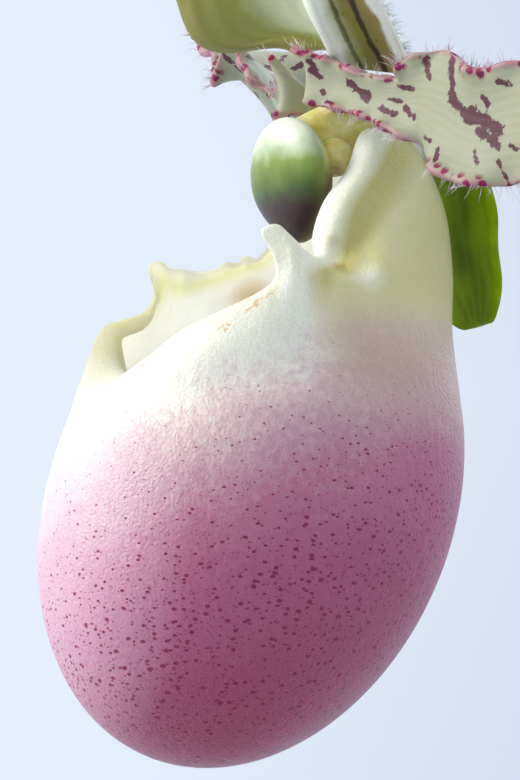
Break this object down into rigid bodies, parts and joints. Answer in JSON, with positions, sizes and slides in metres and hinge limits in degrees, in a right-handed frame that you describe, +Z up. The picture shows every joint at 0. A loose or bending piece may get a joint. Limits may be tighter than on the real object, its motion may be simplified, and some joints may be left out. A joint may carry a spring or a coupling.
{
  "type": "potted slipper orchid",
  "caption": "Slipper orchid in a clay pot of bark: two fans of strap leaves and an upright stem with an open pouched flower and a bud.",
  "frame": {"origin": "middle of the pot's flat underside, where the pot stands", "axes": "+Z up along the pot's axis and the flower stem; the open flower faces -Y, and its left petal points to +X"},
  "size_m": [0.2537, 0.12, 0.3563],
  "materials": {
    "terracotta": "unglazed fired clay, matt",
    "bark": "broken fir bark, rough and matt",
    "root": "woolly root skin, matt",
    "leaf": "thick leathery leaf, satin",
    "hairy_stem": "short soft hair over a dark purple stem",
    "bract": "thin hairy bract, satin",
    "bud": "hairy green bud, satin",
    "dorsal_sepal": "soft petal tissue, satin, with dark veins and a cream edge",
    "synsepal": "soft petal tissue, satin",
    "petal": "soft petal tissue, cream with maroon blotches",
    "lip": "waxy petal tissue, cream to rose with fine magenta dots",
    "column": "waxy flower tissue, yellow green to dark maroon"
  },
  "bodies": {
    "root": {"pot": "terracotta", "bark_chips": "bark", "rhizome_and_roots": "root", "leaf_a1": "leaf", "leaf_a2": "leaf", "leaf_a3": "leaf", "leaf_a4": "leaf", "leaf_a5": "leaf", "leaf_b1": "leaf", "leaf_b2": "leaf", "leaf_b3": "leaf", "leaf_b4": "leaf", "flower_stem": "hairy_stem", "stem_sheath": "bract", "flower_bract": "bract", "ovary": "hairy_stem", "bud": "bud", "dorsal_sepal": "dorsal_sepal", "synsepal": "synsepal", "petal_left": "petal", "petal_right": "petal", "lip": "lip", "column": "column"}
  },
  "joints": []
}
